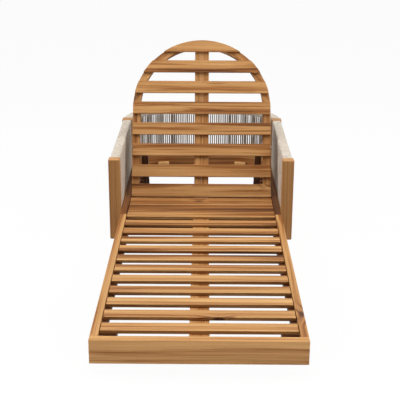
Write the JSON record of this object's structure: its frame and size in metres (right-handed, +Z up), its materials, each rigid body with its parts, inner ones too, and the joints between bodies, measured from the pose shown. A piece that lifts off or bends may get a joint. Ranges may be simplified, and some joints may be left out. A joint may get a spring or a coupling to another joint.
{
  "type": "chaise longue",
  "caption": "Low slatted wooden chaise longue with rope-wound arms that run round behind it and an arched slatted backrest that reclines on a hinged stay over notched rails.",
  "frame": {"origin": "on the floor under the middle of the chaise's plan", "axes": "+Z up, -Y towards the foot end, +Y towards the rounded back, +X to the right when seen from the foot end"},
  "size_m": [0.763, 2.08, 0.7532],
  "materials": {
    "acacia": "oiled, satin",
    "rope": "twisted, matt",
    "steel": "zinc plated"
  },
  "bodies": {
    "frame": {"deck_slat_01": "acacia", "deck_slat_02": "acacia", "deck_slat_03": "acacia", "deck_slat_04": "acacia", "deck_slat_05": "acacia", "deck_slat_06": "acacia", "deck_slat_07": "acacia", "deck_slat_08": "acacia", "deck_slat_09": "acacia", "deck_slat_10": "acacia", "deck_slat_11": "acacia", "deck_slat_12": "acacia", "deck_slat_13": "acacia", "deck_slat_14": "acacia", "frame_fasteners": "steel", "front_apron": "acacia", "hinge_cross_rails": "acacia", "ledgers": "acacia", "left_arm_bottom_rail": "acacia", "left_arm_rope": "rope", "left_arm_top_rail": "acacia", "left_front_leg": "acacia", "left_front_post": "acacia", "left_front_rail": "acacia", "left_notched_rail": "acacia", "left_rear_post": "acacia", "left_rear_rail": "acacia", "middle_stringer": "acacia", "rear_bottom_rail": "acacia", "rear_legs": "acacia", "rear_rope": "rope", "rear_top_rail": "acacia", "right_arm_bottom_rail": "acacia", "right_arm_rope": "rope", "right_arm_top_rail": "acacia", "right_front_leg": "acacia", "right_front_post": "acacia", "right_front_rail": "acacia", "right_notched_rail": "acacia", "right_rear_post": "acacia", "right_rear_rail": "acacia", "seat_cross_rail": "acacia", "seat_fillers": "acacia"},
    "backrest": {"back_slat_01": "acacia", "back_slat_02": "acacia", "back_slat_03": "acacia", "back_slat_04": "acacia", "back_slat_05": "acacia", "back_slat_06": "acacia", "back_slat_07": "acacia", "back_slat_08": "acacia", "back_spine": "acacia", "left_back_arch": "acacia", "left_back_stile": "acacia", "right_back_arch": "acacia", "right_back_stile": "acacia", "stay_pins": "steel"},
    "stay": {"left_stay_arm": "acacia", "right_stay_arm": "acacia", "stay_crossbar": "acacia"}
  },
  "joints": [
    {"name": "backrest_recline", "type": "hinge", "parent": "frame", "child": "backrest", "pos_m": [0, 0.321, 0.0815], "axis": [-1, 0, 0], "range_deg": [-8, 32]},
    {"name": "stay_swing", "type": "hinge", "parent": "backrest", "child": "stay", "pos_m": [0, 0.43059, 0.3062], "axis": [1, 0, 0], "range_deg": [-16.5, 64.5]}
  ],
  "couplings": [
    {"joint": "stay_swing", "follows": "backrest_recline", "ratio": 2}
  ]
}
